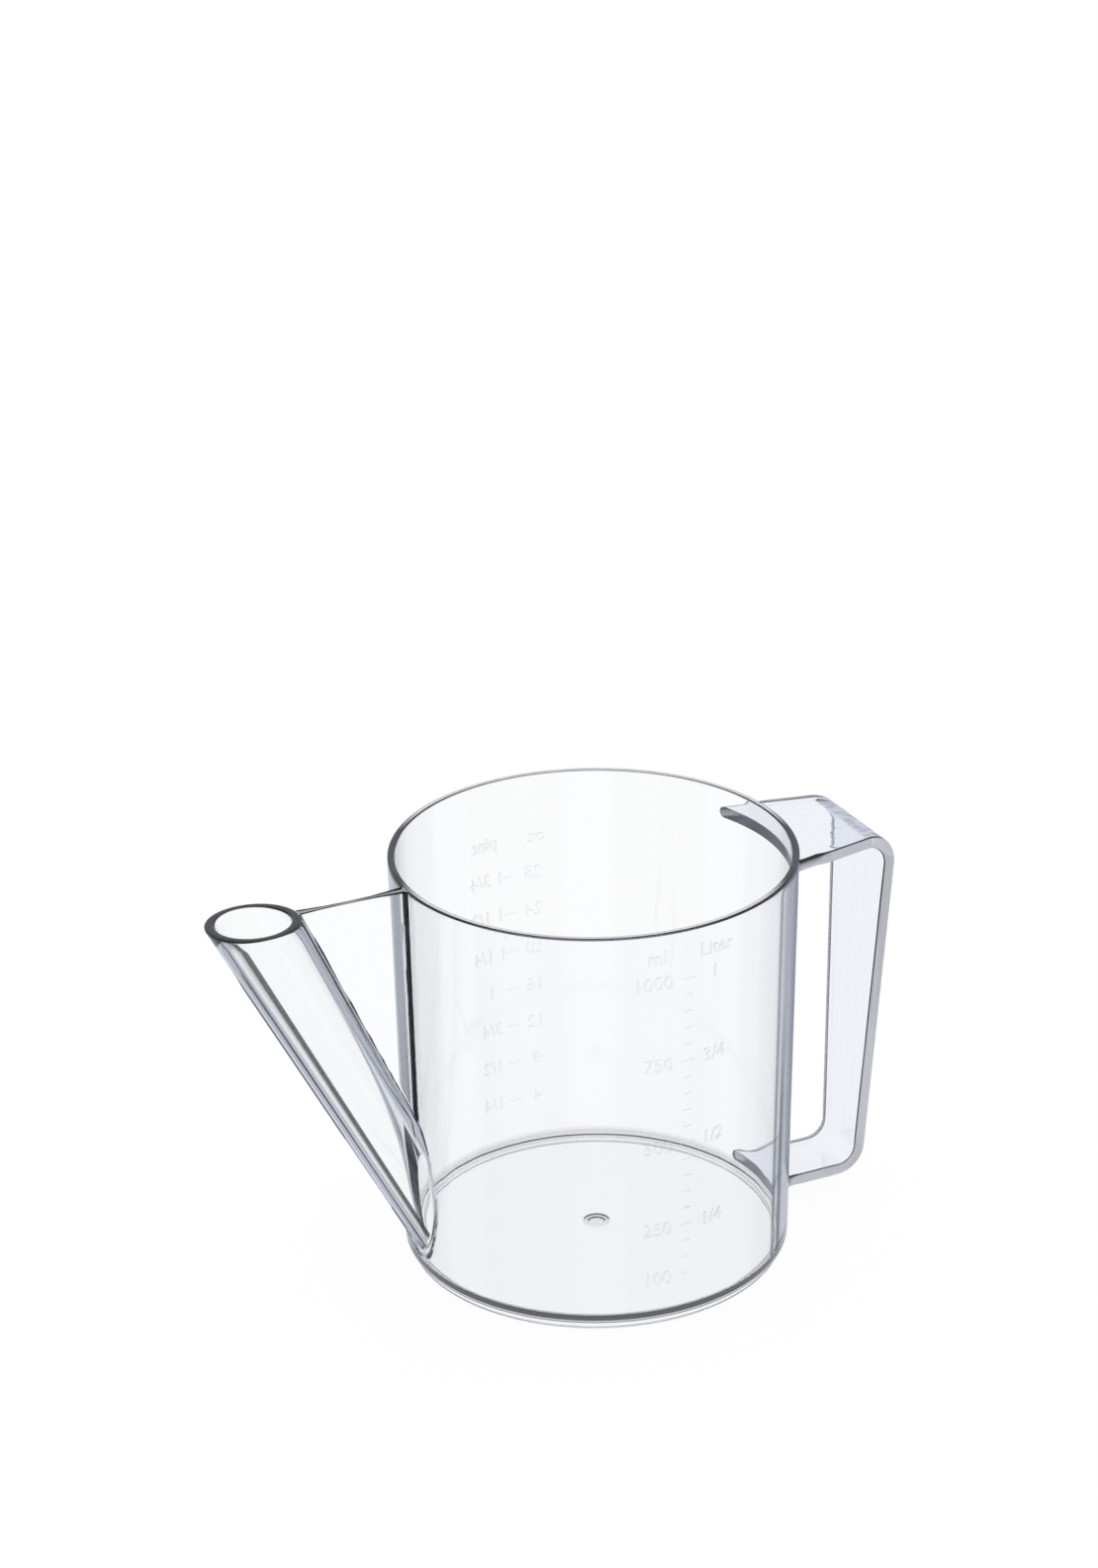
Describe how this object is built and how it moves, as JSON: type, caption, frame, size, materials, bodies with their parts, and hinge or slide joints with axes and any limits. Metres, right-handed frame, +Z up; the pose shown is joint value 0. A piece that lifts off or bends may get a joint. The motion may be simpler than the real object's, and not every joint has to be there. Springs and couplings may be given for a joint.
{
  "type": "gravy fat separator",
  "caption": "Clear plastic jug with a leaning spout that rises from its foot, a web between them, a strap handle and raised measuring scales.",
  "frame": {"origin": "on the jug's axis, on the plane that the foot ring stands on", "axes": "+X from the jug's axis to the handle, so the spout lies along -X; +Y to the side with the scale in pints and fluid ounces; +Z up along the jug's axis"},
  "size_m": [0.2059, 0.116, 0.1233],
  "materials": {
    "clear_plastic": "clear, polished, with a faint cool tint in thick sections",
    "raised_marks": "the same clear plastic, raised a little and slightly frosted"
  },
  "bodies": {
    "root": {"jug_wall": "clear_plastic", "jug_floor": "clear_plastic", "foot_ring": "clear_plastic", "gate_mark": "clear_plastic", "spout_tube": "clear_plastic", "spout_web": "clear_plastic", "handle_strap": "clear_plastic", "metric_ticks": "raised_marks", "pint_ticks": "raised_marks"}
  },
  "joints": []
}
